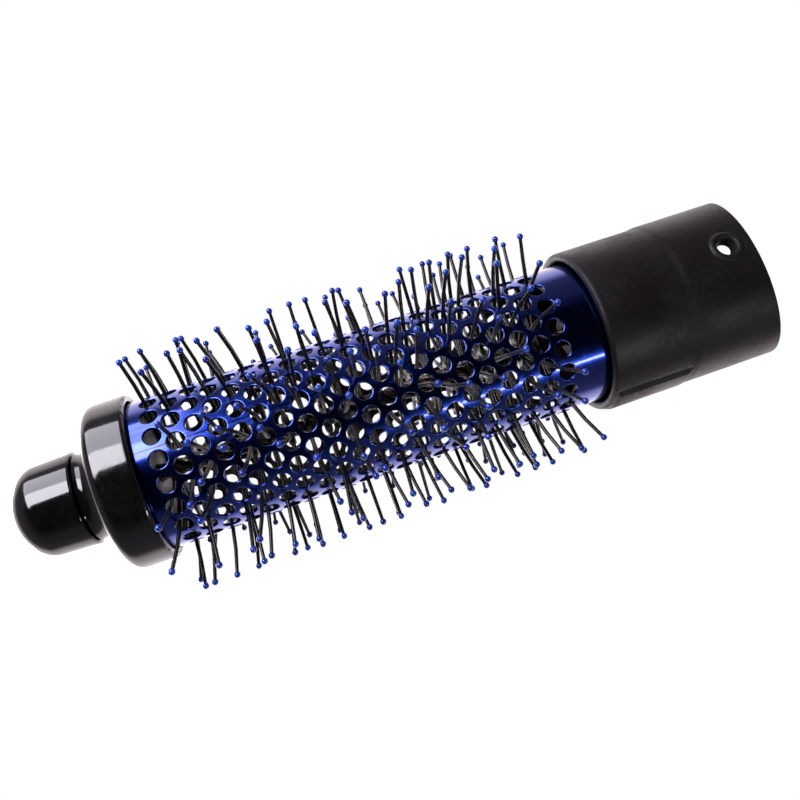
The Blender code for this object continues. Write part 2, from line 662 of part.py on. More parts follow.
def main():
    clear_scene()
    parts = make_collection("hot_air_brush")
    cutters = make_collection("cutters")
    matt_black = finish("matt_black_plastic", (0.022, 0.020, 0.021), 0.62)
    gloss_black = finish("gloss_black_plastic", (0.012, 0.011, 0.013), 0.18)
    aluminium = finish("blue_anodised_aluminium", (0.012, 0.030, 0.270), 0.26, 1.0)
    nylon = finish("black_nylon", (0.012, 0.010, 0.010), 0.30)
    steel = finish("zinc_plated_steel", (0.55, 0.55, 0.56), 0.35, 1.0)

    make_sleeve(parts, cutters, matt_black)
    make_collar(parts, cutters, matt_black)
    make_spider(parts, cutters, matt_black)
    make_collar_screws(parts, steel)
    make_lock_washer(parts, steel)
    make_core(parts, steel)
    for i, ring in enumerate(bristle_rings()):
        make_bristle_row(f"bristle_row_{i + 1:02d}", ring, parts, nylon)
    make_barrel(parts, aluminium)
    make_core_plug(parts, matt_black)
    make_end_cap(parts, gloss_black)
    make_tip_washer(parts, steel)
    make_tip_screw(parts, steel)
    make_knob(parts, gloss_black)


main()
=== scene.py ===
"""Looks of the hot air brush: the pierced blue barrel, its ball-tipped bristles on a twisted
core, the gloss black end cap and cool tip, and the matt black sleeve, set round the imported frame.

Lengths are in metres. The sleeve is at the foot and +Z runs to the cool tip. Turns round the
barrel are counted from -Y towards +X. Each shape is a grid worked out from two parameters.
"""

import random
from math import cos, pi, radians, sin

import bmesh
import bpy
import numpy as np
from mathutils import Matrix, Vector


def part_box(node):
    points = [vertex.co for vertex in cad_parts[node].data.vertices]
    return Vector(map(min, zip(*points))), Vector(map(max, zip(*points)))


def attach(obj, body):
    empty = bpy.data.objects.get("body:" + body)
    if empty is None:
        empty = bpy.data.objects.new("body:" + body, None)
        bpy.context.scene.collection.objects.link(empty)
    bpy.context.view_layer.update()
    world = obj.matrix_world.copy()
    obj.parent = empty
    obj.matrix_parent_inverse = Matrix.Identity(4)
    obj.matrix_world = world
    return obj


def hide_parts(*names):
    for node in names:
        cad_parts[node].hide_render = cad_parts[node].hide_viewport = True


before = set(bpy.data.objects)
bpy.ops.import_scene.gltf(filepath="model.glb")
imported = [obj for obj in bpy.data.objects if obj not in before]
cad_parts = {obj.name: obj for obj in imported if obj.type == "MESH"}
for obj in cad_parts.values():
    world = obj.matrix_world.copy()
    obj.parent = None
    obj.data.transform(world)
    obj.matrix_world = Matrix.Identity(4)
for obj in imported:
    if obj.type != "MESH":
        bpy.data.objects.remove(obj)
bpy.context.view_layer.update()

MM = 0.001

# ---- Sizes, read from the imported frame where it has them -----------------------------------
BARREL_LOW, BARREL_HIGH = (corner.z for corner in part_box("perforated_barrel"))
SLEEVE_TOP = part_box("grip_sleeve")[1].z
BARREL_SHOWN = 97.4 * MM            # from the sleeve's rim to the cap's lip
CAP_LIP = SLEEVE_TOP + BARREL_SHOWN
CORE_LOW, CORE_HIGH = (corner.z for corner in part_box("wire_core"))
TIP_LOW, TIP_HIGH = (corner.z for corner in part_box("cool_tip"))

# Barrel: staggered rings of round holes in a rolled sheet
BARREL_RADIUS = 16.0 * MM
BARREL_WALL = 0.6 * MM
HOLES_PER_RING = 20
RINGS = 21
RING_PITCH = 4.185 * MM
FIRST_RING = SLEEVE_TOP + 9.28 * MM
FIRST_RING_TURN = radians(9.3)
HOLE_RADIUS = 1.86 * MM             # at the hole's wall; its rounded edge is wider
HOLE_EDGE = 0.14 * MM
SIDE_POINTS = 5                     # of a hole's six-sided patch, along one side
END_SOFT = 0.12 * MM                # how far the barrel's ends are rounded
SEAM_TURN = radians(18.4)
SEAM_HALF = 0.0095                  # half the seam's width, as a turn

# Bristles
HOLES_DRAWN = 5                     # neighbouring holes, of which three carry bristles
BRISTLES_DRAWN = 3
BARE_FROM, BARE_TO = radians(-18.0), radians(54.0)      # the end rings' empty holes
BRISTLE_SEED = 7
BRISTLE_REACH = 26.0 * MM           # from the axis to a bristle's tip
BRISTLE_ROOT = 1.2 * MM
HOLE_SCATTER = 0.701 * MM           # how far a bristle stands from its hole's centre, at most
TIP_SCATTER = 2.7 * MM              # how far its tip stands from straight above the hole
ROW_FAN = 2.2 * MM                  # how far the end rows' tips spread towards the ends
BRISTLE_THICK = 0.54 * MM           # radius at the root
BRISTLE_THIN = 0.40 * MM            # radius under the ball
BALL_RADIUS = 0.72 * MM
FILAMENT_POINTS = 6
BALL_ROWS, BALL_POINTS = 7, 10
HUB_RADIUS, HUB_BORE = 3.4 * MM, 2.1 * MM
HUB_HALF = 0.8 * MM                 # half a hub's height
HUB_STEPS = 20

# Twisted core
STRANDS = 4
STRAND_RADIUS = 0.787 * MM
STRAND_CIRCLE = 1.113 * MM
TWIST_LENGTH = 15.0 * MM
CORE_STEPS, STRAND_POINTS = 260, 12

# Sleeve
SOCKET_RADIUS = 16.6 * MM
SHELF_INNER = 13.4 * MM
SHELF_LOW, SHELF_HIGH = 32.0 * MM, 35.0 * MM
FRONT_RADIUS = 18.45 * MM
REAR_RADIUS = 18.7 * MM
STEP_LOW, STEP_HIGH = 26.2 * MM, 28.2 * MM
MOUTH_RISE = 0.26                   # of the slanted mouth, for each length across
MOUTH_TURN = radians(20.0)          # where the sleeve is shortest
LEVEL_FROM = 24.5 * MM              # above this height the sleeve's rows are level
LATCH_HEIGHT = 15.5 * MM
LATCH_TURN = radians(23.0)
LATCH_INNER = 1.55 * MM             # the hole's radius inside the sleeve
LATCH_RING = 5.9 * MM               # the shallow ring round the hole's lip
LATCH_RING_HALF = 0.22 * MM
PATCH_HALF = radians(15.0)          # of the patch round the latch hole
PAD_TURNS = radians(-147.0), radians(-57.0)
PAD_HEIGHTS = 27.6 * MM, 45.4 * MM
PAD_RISE = 0.45 * MM
PAD_SOFT = 0.7 * MM
GROOVE_OFF, GROOVE_WIDTH, GROOVE_DEPTH = 0.45 * MM, 0.4 * MM, 0.16 * MM
FOOT_ROW = 0.9 * MM                 # where the wall's rows end and its rounded foot starts
SOCKET_ROWS_TOP = 24.6 * MM
SLEEVE_STEPS = 288

# End cap and cool tip
CAP_RADIUS = 18.15 * MM
SEAT_RADIUS = 14.95 * MM
SPIGOT_INNER = 13.35 * MM
NECK_RADIUS = 9.4 * MM
NECK_FLARE, NECK_FLARE_RISE = 6.3 * MM, 4.8 * MM
SPINDLE_RADIUS = 4.5 * MM
SCREW_BORE = 2.3 * MM
CAP_FACE_EDGE = 8.4 * MM            # above the cap's lip
CAP_FACE_RISE = 1.9 * MM
CAP_ROOF = 1.6 * MM
NECK_LENGTH = 3.6 * MM
SPINDLE_LENGTH = 4.0 * MM
SPIGOT_REACH = 2.4 * MM
LIP_CLEARANCE = 0.45 * MM           # from the barrel to the cap's lip
RUNNING_GAP = 0.3 * MM
KNOB_BORE_DEPTH = 3.7 * MM
KNOB_SCREW_DEPTH = 4.8 * MM
KNOB_RADIUS = 10.15 * MM
KNOB_DRAFT = 0.3 * MM
KNOB_DOME = 6.9 * MM
TURNED_STEPS = 128

WELD = 0.000002
SHARP = radians(38.0)


# ---- Shapes --------------------------------------------------------------------------------
def around(turn, radius, height):
    """The point at a turn, a radius and a height: (r sin t, -r cos t, z), for whole arrays."""
    turn, radius, height = np.broadcast_arrays(turn, radius, height)
    return np.stack([radius * np.sin(turn), -radius * np.cos(turn), height], axis=-1)


def smooth_step(low, high, value):
    """0 below low, 1 above high, and 3s^2 - 2s^3 of the share s between them."""
    share = np.clip((value - low) / (high - low), 0.0, 1.0)
    return share * share * (3.0 - 2.0 * share)


def eased(corners, steps=5):
    """A profile through (radius, height, softness) corners. Each soft corner becomes the curve
    (1-s)^2 a + 2s(1-s) c + s^2 b, where c is the corner and a, b lie its softness before and
    after it; a corner with no softness stays one point."""
    points = np.array([(r, z) for r, z, _ in corners])
    softness = np.array([soft for _, _, soft in corners])
    before = np.roll(points, 1, axis=0) - points
    after = np.roll(points, -1, axis=0) - points
    before /= np.linalg.norm(before, axis=1, keepdims=True)
    after /= np.linalg.norm(after, axis=1, keepdims=True)
    share = np.linspace(0.0, 1.0, steps)[None, :, None]
    start = (points + before * softness[:, None])[:, None]
    end = (points + after * softness[:, None])[:, None]
    curves = (1 - share) ** 2 * start + 2 * share * (1 - share) * points[:, None] + share**2 * end
    return np.concatenate([c if soft else c[:1] for c, soft in zip(curves, softness)])


def revolved(profile, steps=TURNED_STEPS):
    """A (radius, height) profile carried round the axis: point (i, j) is profile point i at
    turn 2 pi j / steps."""
    turns = np.linspace(0.0, 2 * pi, steps, endpoint=False)
    return around(turns[None, :], profile[:, None, 0], profile[:, None, 1])


def grid_quads(rows, columns, close_rows, close_columns):
    """The four corners of every cell of a grid, where a closed side runs back to its start."""
    i = np.arange(rows if close_rows else rows - 1)[:, None]
    j = np.arange(columns if close_columns else columns - 1)[None, :]
    next_i, next_j = (i + 1) % rows, (j + 1) % columns
    corners = [
        i * columns + j, i * columns + next_j, next_i * columns + next_j, next_i * columns + j,
    ]
    return np.stack([np.broadcast_to(c, (i.size, j.size)).ravel() for c in corners], axis=-1)


def add_piece(name, grids, finish, body, replaced, marks=None, sharp=SHARP):
    """One object from grids: each is (points, close_rows, close_columns), with points as
    (copies, rows, columns, 3) or (rows, columns, 3). Points that meet are welded, and the
    faces turned outwards. marks is {attribute name: one value for each point}."""
    points, quads, count = [], [], 0
    for grid, close_rows, close_columns in grids:
        grid = grid if grid.ndim == 4 else grid[None]
        copies, rows, columns, _ = grid.shape
        cells = grid_quads(rows, columns, close_rows, close_columns)
        shift = count + np.arange(copies)[:, None, None] * rows * columns
        quads.append((cells[None] + shift).reshape(-1, 4))
        points.append(grid.reshape(-1, 3))
        count += copies * rows * columns
    points, quads = np.concatenate(points), np.concatenate(quads)
    mesh = bpy.data.meshes.new(name)
    mesh.vertices.add(len(points))
    mesh.vertices.foreach_set("co", points.astype(np.float32).ravel())
    mesh.loops.add(quads.size)
    mesh.loops.foreach_set("vertex_index", quads.astype(np.int32).ravel())
    mesh.polygons.add(len(quads))
    mesh.polygons.foreach_set("loop_start", np.arange(0, quads.size, 4, dtype=np.int32))
    for mark, values in (marks or {}).items():
        layer = mesh.attributes.new(mark, "FLOAT", "POINT")
        flat = np.concatenate([v.ravel() for v in values]).astype(np.float32)
        layer.data.foreach_set("value", flat)
    mesh.update(calc_edges=True)
    work = bmesh.new()
    work.from_mesh(mesh)
    bmesh.ops.remove_doubles(work, verts=work.verts, dist=WELD)
    bmesh.ops.recalc_face_normals(work, faces=work.faces)
    work.to_mesh(mesh)
    work.free()
    mesh.validate()
    mesh.shade_smooth()
    mesh.set_sharp_from_angle(angle=sharp)
    mesh.materials.append(finish)
    piece = bpy.data.objects.new(name, mesh)
    bpy.context.scene.collection.objects.link(piece)
    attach(piece, body)
    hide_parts(*replaced)
    return piece


# ---- Barrel --------------------------------------------------------------------------------
def ring_height(ring):
    return FIRST_RING + ring * RING_PITCH


def hole_turn(ring, place):
    return FIRST_RING_TURN + (place - 0.5 * (ring % 2)) * 2 * pi / HOLES_PER_RING


def cell_sides():
    """The six-sided patch round a hole: the border halfway to each of its six neighbours.
    Returns its points round the hole as (sideways, upwards), SIDE_POINTS to a side."""
    half = pi * BARREL_RADIUS / HOLES_PER_RING
    peak = (half**2 + RING_PITCH**2) / (2 * RING_PITCH)
    shoulder = RING_PITCH - peak
    corners = np.array([
        (half, -shoulder), (half, shoulder), (0.0, peak),
        (-half, shoulder), (-half, -shoulder), (0.0, -peak),
    ])
    share = np.arange(SIDE_POINTS)[None, :, None] / SIDE_POINTS
    ahead = np.roll(corners, -1, axis=0)
    return (corners[:, None] * (1 - share) + ahead[:, None] * share).reshape(-1, 2)


def barrel_holes():
    """Every hole's patch at once. Row by row it runs in from the border on the outer face,
    over the rounded edge, down the hole's wall and out to the border on the inner face; the
    columns go round the hole. A row is the circle of its radius, pushed to its depth."""
    border = cell_sides()
    angle = np.arctan2(border[:, 1], border[:, 0])
    circle = np.stack([np.cos(angle), np.sin(angle)], axis=-1)
    edge = np.array([0.0, pi / 6, pi / 3, pi / 2])
    radii = HOLE_RADIUS + HOLE_EDGE * (1 - np.sin(edge))
    depths = HOLE_EDGE * (1 - np.cos(edge))
    flat = np.concatenate([[HOLE_RADIUS + 1.5 * HOLE_EDGE], radii, [HOLE_RADIUS]])
    down = np.concatenate([[0.0], depths, [BARREL_WALL]])
    plane = np.concatenate([border[None], flat[:, None, None] * circle, border[None]])
    depth = np.concatenate([[0.0], down, [BARREL_WALL]])
    # rim: how much painted highlight each row of a hole gets, most on its rounded edge
    rim = np.array([0.0, 0.15, 0.6, 1.0, 0.9, 0.5, 0.0, 0.0])
    rings, places = np.divmod(np.arange(RINGS * HOLES_PER_RING), HOLES_PER_RING)
    turns = hole_turn(rings, places)[:, None, None] + plane[None, :, :, 0] / BARREL_RADIUS
    heights = ring_height(rings)[:, None, None] + plane[None, :, :, 1]
    radius = np.broadcast_to((BARREL_RADIUS - depth)[None, :, None], turns.shape)
    inside = np.broadcast_to((depth >= BARREL_WALL)[None, :, None], turns.shape)
    return around(turns, radius, heights), np.broadcast_to(rim[None, :, None], turns.shape), inside


def barrel_end(ring, end):
    """The plain band between the last ring's zigzag border and the barrel's end. Columns
    follow the border; rows go along the outside, over the end's rim and back inside."""
    border = cell_sides()
    upper = end > ring_height(ring)
    side = border[SIDE_POINTS:3 * SIDE_POINTS] if upper else border[4 * SIDE_POINTS:]
    places = np.arange(HOLES_PER_RING) * (-1 if upper else 1)
    turns = (hole_turn(ring, places)[:, None] + side[None, :, 0] / BARREL_RADIUS).ravel()
    zigzag = ring_height(ring) + np.tile(side[:, 1], HOLES_PER_RING)
    step = END_SOFT if upper else -END_SOFT
    share = np.array([0.0, 0.12, 0.4, 0.7, 1.0])
    heights = zigzag[None] * (1 - share[:, None]) + (end - step) * share[:, None]
    rim_heights = np.array([end, end, end - step])[:, None] + 0 * zigzag[None]
    heights = np.concatenate([heights, rim_heights, heights[:1]])
    depth = np.array([0, 0, 0, 0, 0, END_SOFT, BARREL_WALL - END_SOFT, BARREL_WALL, BARREL_WALL])
    inside = np.array([0, 0, 0, 0, 0, 0, 1, 1, 1])[:, None] + 0 * turns[None]
    return around(turns[None], (BARREL_RADIUS - depth)[:, None], heights), inside


def make_barrel(finish):
    holes, rim, inside = barrel_holes()
    low, low_inside = barrel_end(0, BARREL_LOW)
    high, high_inside = barrel_end(RINGS - 1, BARREL_HIGH)
    # The rim mark carries the painted highlight on the holes' edges; the barrel's ends get none.
    marks = {
        "rim": [rim, 0 * low_inside, 0 * high_inside],
        "inside": [inside, low_inside, high_inside],
    }
    grids = [(holes, False, True), (low, False, True), (high, False, True)]
    return add_piece(
        "pierced_barrel", grids, finish, "brush", ["perforated_barrel"],
        marks,
    )


# ---- Bristles and core ---------------------------------------------------------------------
def bristle_places():
    """Every bristle's turn, height and lean, as arrays. Each ring draws its holes and their
    leans from its own seed, so the rows never change."""
    found = []
    for ring in range(RINGS):
        draw = random.Random(BRISTLE_SEED + ring)
        places = []
        for start in range(0, HOLES_PER_RING, HOLES_DRAWN):
            places += sorted(draw.sample(range(start, start + HOLES_DRAWN), BRISTLES_DRAWN))
        if ring in (0, RINGS - 1):
            bare = BARE_TO - BARE_FROM
            places = [p for p in places if (hole_turn(ring, p) - BARE_FROM) % (2 * pi) > bare]
        for place in places:
            lean_turn = draw.uniform(0, 2 * pi)
            lean = draw.random() ** 0.5
            along, across = lean * cos(lean_turn), lean * sin(lean_turn)
            found.append((hole_turn(ring, place), ring_height(ring), along, across))
    return np.array(found).T


def bristle_line(share):
    """Points and directions of all bristles at the shares of their length. A bristle leaves
    the core straight out, and at radius r it stands a r + b r^2 to the side of its hole's
    line, with a and b set so that it passes its hole and its tip where the frame has them. The
    rows also fan out towards the ends, by a share that grows with the cube of r."""
    turn, height, along, across = (v[:, None] for v in bristle_places())
    middle = ring_height((RINGS - 1) / 2)
    fan = ROW_FAN * (height - middle) / (ring_height(RINGS - 1) - middle)
    proud = BRISTLE_REACH - BARREL_RADIUS
    bend = (TIP_SCATTER / BRISTLE_REACH - HOLE_SCATTER / BARREL_RADIUS) / proud
    slope = HOLE_SCATTER / BARREL_RADIUS - bend * BARREL_RADIUS
    reach = BRISTLE_ROOT + (BRISTLE_REACH - BALL_RADIUS - BRISTLE_ROOT) * share[None]
    aside = slope * reach + bend * reach**2
    lean = slope + 2 * bend * reach
    outwards = around(turn, 1.0, 0.0)
    sideways = np.stack([np.cos(turn), np.sin(turn), 0 * turn], axis=-1)
    upwards = np.array([0.0, 0.0, 1.0])
    offset = across[..., None] * sideways + along[..., None] * upwards
    spread = fan * (reach / BRISTLE_REACH) ** 3
    points = reach[..., None] * outwards + aside[..., None] * offset
    points = points + (height + spread)[..., None] * upwards
    along_line = outwards + lean[..., None] * offset
    along_line = along_line + (3 * spread / reach)[..., None] * upwards
    along_line = along_line / np.linalg.norm(along_line, axis=-1, keepdims=True)
    return points, along_line


def across_line(direction):
    """Two unit vectors square to each direction, the first level with the floor."""
    level = np.cross(direction, np.array([0.0, 0.0, 1.0]))
    level = level / np.linalg.norm(level, axis=-1, keepdims=True)
    return level, np.cross(direction, level)


def make_bristles(finish, tip_finish):
    """Filaments are rings of six points carried along each bristle's line, their radius going
    evenly from thick to thin; the first and last rings shrink to the line. Each row has a hub,
    a small profile carried round the core. Ball tips are spheres round the line's end."""
    rows = [f"bristle_row_{i + 1:02d}" for i in range(RINGS)]
    share = np.array([0.0, 0.0, 0.3, 0.6, 0.8, 1.0, 1.0])
    open_ring = np.array([0, 1, 1, 1, 1, 1, 0])
    thick = (BRISTLE_THICK + (BRISTLE_THIN - BRISTLE_THICK) * share) * open_ring
    points, direction = bristle_line(share)
    level, rise = across_line(direction)
    turn = np.linspace(0.0, 2 * pi, FILAMENT_POINTS, endpoint=False)[None, None, :, None]
    ring = np.cos(turn) * level[:, :, None] + np.sin(turn) * rise[:, :, None]
    filaments = points[:, :, None] + thick[None, :, None, None] * ring
    hub = eased([
        (HUB_RADIUS, HUB_HALF, 0.3 * MM), (HUB_RADIUS, -HUB_HALF, 0.3 * MM),
        (HUB_BORE, -HUB_HALF, 0.1 * MM), (HUB_BORE, HUB_HALF, 0.1 * MM),
    ], 3)
    rise_to = ring_height(np.arange(RINGS))[:, None, None, None] * [0, 0, 1]
    hubs = revolved(hub, HUB_STEPS)[None] + rise_to
    nylon = add_piece(
        "bristle_filaments", [(filaments, False, True), (hubs, True, True)], finish, "brush", rows,
        sharp=radians(70.0),
    )

    points, direction = bristle_line(np.array([1.0]))
    level, rise = across_line(direction)
    middle = points[:, 0, None, None] + 0.35 * BALL_RADIUS * direction[:, 0, None, None]
    climb = np.linspace(-pi / 2, pi / 2, BALL_ROWS)[None, :, None, None]
    turn = np.linspace(0.0, 2 * pi, BALL_POINTS, endpoint=False)[None, None, :, None]
    around_ball = np.cos(turn) * level[:, 0, None, None] + np.sin(turn) * rise[:, 0, None, None]
    balls = middle + BALL_RADIUS * (
        np.cos(climb) * around_ball + np.sin(climb) * direction[:, 0, None, None]
    )
    tips = add_piece(
        "bristle_ball_tips", [(balls, False, True)], tip_finish, "brush", rows,
        sharp=radians(80.0),
    )
    return nylon, tips


def make_core(finish):
    """Four wires twisted together. Each is a circle carried along a helix: the helix turns
    once every TWIST_LENGTH at STRAND_CIRCLE from the axis, and the circle lies square to it."""
    height = np.linspace(CORE_LOW, CORE_HIGH, CORE_STEPS)
    start = 2 * pi * np.arange(STRANDS)[:, None] / STRANDS
    turn = start + 2 * pi * (height[None] - CORE_LOW) / TWIST_LENGTH
    middle = around(turn, STRAND_CIRCLE, height[None])
    rate = 2 * pi / TWIST_LENGTH
    forward = np.stack([
        STRAND_CIRCLE * rate * np.cos(turn), STRAND_CIRCLE * rate * np.sin(turn), 1 + 0 * turn,
    ], axis=-1)
    forward /= np.linalg.norm(forward, axis=-1, keepdims=True)
    outwards = around(turn, 1.0, 0.0)
    aside = np.cross(forward, outwards)
    angle = np.linspace(0.0, 2 * pi, STRAND_POINTS, endpoint=False)[None, None, :, None]
    thick = np.full(len(height), STRAND_RADIUS)
    thick[[0, -1]] = 0.0
    ring = np.cos(angle) * outwards[:, :, None] + np.sin(angle) * aside[:, :, None]
    wires = middle[:, :, None] + thick[None, :, None, None] * ring
    return add_piece(
        "twisted_core", [(wires, False, True)], finish, "brush", ["wire_core"],
    )


# ---- Sleeve --------------------------------------------------------------------------------
def pad_proud(turn, height):
    """How far the grip pad stands proud: its rise times a soft-edged window in turn and
    height, less a fine groove along its edge."""
    turn = (turn + pi) % (2 * pi) - pi
    middle, half = sum(PAD_TURNS) / 2, (PAD_TURNS[1] - PAD_TURNS[0]) / 2
    off_side = (np.abs(turn - middle) - half) * FRONT_RADIUS
    off_end = np.maximum(PAD_HEIGHTS[0] - height, height - PAD_HEIGHTS[1])
    off = np.maximum(off_side, off_end)
    window = 1.0 - smooth_step(-PAD_SOFT, 0.0, off)
    groove = np.exp(-((off_side - GROOVE_OFF) / GROOVE_WIDTH) ** 2) * (off_end < 0)
    return PAD_RISE * window - GROOVE_DEPTH * groove


def latch_profile():
    """Rows from the latch patch's border to the hole and on to its inner border, as
    (distance from the hole's centre, height above the wall's face). The lip is a soft ridge
    round the hole, whose wall then narrows inwards."""
    far = np.array([4.3, 3.9, 3.7, 3.55, 3.4, 3.2, 2.95, 2.7, 2.45, 2.25, 2.12, 2.05]) * MM
    up = np.array([0.0, -0.02, -0.02, 0.08, 0.22, 0.34, 0.4, 0.38, 0.3, 0.14, -0.1, -0.4]) * MM
    return far, up


def slanted(nominal, radius, turns):
    """The height of a sleeve row that would be at its nominal height if the mouth were level.
    The slanted mouth lifts it by MOUTH_RISE times (REAR_RADIUS + r cos(t - MOUTH_TURN)), less
    and less up to LEVEL_FROM."""
    lift = MOUTH_RISE * (REAR_RADIUS + radius * np.cos(turns - MOUTH_TURN))
    return nominal + lift * np.clip(1 - nominal / LEVEL_FROM, 0.0, 1.0)


def make_sleeve(finish):
    """The sleeve's wall is a closed profile carried round the axis, with the pad pushed out
    of its outer face and the rows near the mouth lifted to its slant. The patch round the
    latch hole is left open on both faces and filled by rows that go from the hole's circle to
    the patch's border."""
    window = np.linspace(1.7, 17.5, 22) * MM
    low_rows = np.concatenate([[FOOT_ROW], window])
    upper_rows = np.concatenate([
        np.linspace(18.5, 25.9, 12), np.linspace(26.2, 28.2, 8), np.linspace(28.6, 44.4, 34),
        np.linspace(44.8, 45.8, 6),
    ]) * MM
    heights = np.concatenate([low_rows, upper_rows])
    thicker = 1 - smooth_step(STEP_LOW, STEP_HIGH, heights)
    base = FRONT_RADIUS + (REAR_RADIUS - FRONT_RADIUS) * thicker
    rim_round = (FRONT_RADIUS - SOCKET_RADIUS) / 2
    rim = np.linspace(0.0, pi, 11)[1:]
    rim_r = (FRONT_RADIUS + SOCKET_RADIUS) / 2 + rim_round * np.cos(rim)
    rim_z = SLEEVE_TOP - rim_round + rim_round * np.sin(rim)
    inner = eased([
        (SOCKET_RADIUS, SHELF_HIGH, 0.25 * MM), (SHELF_INNER, SHELF_HIGH, 0.25 * MM),
        (SHELF_INNER, SHELF_LOW, 0.25 * MM), (SOCKET_RADIUS, SHELF_LOW, 0.25 * MM),
        (SOCKET_RADIUS, SOCKET_ROWS_TOP, 0.0),
    ], 4)
    foot = eased([
        (SOCKET_RADIUS, FOOT_ROW, 0.0), (SOCKET_RADIUS, 0.0, 0.45 * MM),
        (REAR_RADIUS, 0.0, 0.5 * MM), (REAR_RADIUS, FOOT_ROW, 0.0),
    ], 5)[1:-1]
    down_r = np.full(len(low_rows), SOCKET_RADIUS)
    radius = np.concatenate([base, rim_r, inner[:, 0], down_r, foot[:, 0]])
    height = np.concatenate([heights, rim_z, inner[:, 1], low_rows[::-1], foot[:, 1]])
    outer = np.concatenate([np.ones(len(heights)), np.zeros(len(radius) - len(heights))])
    turns = LATCH_TURN + np.arange(SLEEVE_STEPS) * 2 * pi / SLEEVE_STEPS
    lifted = slanted(height[:, None], radius[:, None], turns[None])
    proud = outer[:, None] * pad_proud(turns[None], lifted)
    wall = around(turns[None], radius[:, None] + proud, lifted)

    # The open patch spans this many columns each side of the hole, on the rows of window
    span = round(PATCH_HALF / (2 * pi / SLEEVE_STEPS))
    first, last = 1, len(window)
    inner_first = len(heights) + len(rim_r) + len(inner) + len(low_rows) - 1 - last
    steps = last - first
    columns = np.arange(-span, span + 1)
    border_row = np.concatenate([
        0 * columns[:-1], np.arange(steps), steps + 0 * columns[:-1], np.arange(steps, 0, -1),
    ])
    border_column = np.concatenate([
        columns[:-1], span + 0 * np.arange(steps), columns[:0:-1], -span + 0 * np.arange(steps),
    ])
    face = wall[first + border_row, border_column]
    back = wall[inner_first + steps - border_row, border_column]
    aside = REAR_RADIUS * np.sin(border_column * 2 * pi / SLEEVE_STEPS)
    angle = np.arctan2(face[:, 2] - LATCH_HEIGHT, aside)
    far, up = latch_profile()
    sideways = far[:, None] * np.cos(angle)[None]
    patch_height = LATCH_HEIGHT + far[:, None] * np.sin(angle)[None]
    patch_radius = REAR_RADIUS + up[:, None]
    patch = around(LATCH_TURN + np.arcsin(sideways / patch_radius), patch_radius, patch_height)
    through = around(
        LATCH_TURN + np.arcsin(LATCH_INNER * np.cos(angle) / SOCKET_RADIUS), SOCKET_RADIUS,
        LATCH_HEIGHT + LATCH_INNER * np.sin(angle),
    )
    patch = np.concatenate([face[None], patch, through[None], back[None]])

    # The wall without the patch: the columns outside it, then those above and below it
    outside = np.arange(span, SLEEVE_STEPS - span + 1)
    above = np.arange(last, inner_first + 1)
    below = np.concatenate([np.arange(inner_first + steps, len(radius)), [0, 1]])
    grids = [
        (wall[:, outside % SLEEVE_STEPS], True, False),
        (wall[above][:, columns], False, False),
        (wall[below][:, columns], False, False),
        (patch, False, True),
    ]
    return add_piece(
        "latched_sleeve", grids, finish, "brush", ["grip_sleeve"],
        sharp=radians(50.0),
    )


# ---- End cap and cool tip ------------------------------------------------------------------
def make_end_cap(finish):
    """The cap's profile from the neck down its flared foot, a quarter of an ellipse, and the
    flange's face, round the lip into the groove that takes the barrel, down the spigot and
    back up its bore to the spindle."""
    face_edge = CAP_LIP + CAP_FACE_EDGE
    face = face_edge + CAP_FACE_RISE
    neck_top = face + NECK_LENGTH
    spindle_top = neck_top + SPINDLE_LENGTH
    lip_inner = BARREL_RADIUS + LIP_CLEARANCE
    groove_top = BARREL_HIGH + RUNNING_GAP
    spigot_low = CAP_LIP - SPIGOT_REACH
    roof = face_edge - CAP_ROOF
    angle = np.radians(np.linspace(180.0, 268.0, 16))
    flare = np.stack([
        NECK_RADIUS + NECK_FLARE * (1 + np.cos(angle)),
        face_edge + NECK_FLARE_RISE * (1 + np.sin(angle)),
    ], axis=-1)
    below = [
        (CAP_RADIUS - 0.35 * MM, face_edge - 0.05 * MM, 1.2 * MM),
        (CAP_RADIUS, face_edge - 1.6 * MM, 0.7 * MM),
        (CAP_RADIUS, CAP_LIP + 1.1 * MM, 0.3 * MM),
        (CAP_RADIUS - 0.05 * MM, CAP_LIP, 0.85 * MM), (lip_inner, CAP_LIP, 0.6 * MM),
        (lip_inner, groove_top, 0.2 * MM), (SEAT_RADIUS, groove_top, 0.2 * MM),
        (SEAT_RADIUS, spigot_low, 0.3 * MM), (SPIGOT_INNER, spigot_low, 0.3 * MM),
        (SPIGOT_INNER, roof, 0.5 * MM), (SCREW_BORE, roof, 0.15 * MM),
        (SCREW_BORE, spindle_top, 0.15 * MM), (SPINDLE_RADIUS, spindle_top, 0.3 * MM),
        (SPINDLE_RADIUS, neck_top, 0.0), (NECK_RADIUS, neck_top, 0.25 * MM),
    ]
    grid = revolved(np.concatenate([flare, eased(below, 7)]))
    return add_piece(
        "gloss_end_cap", [(grid, True, True)], finish, "brush", ["end_cap"],
    )


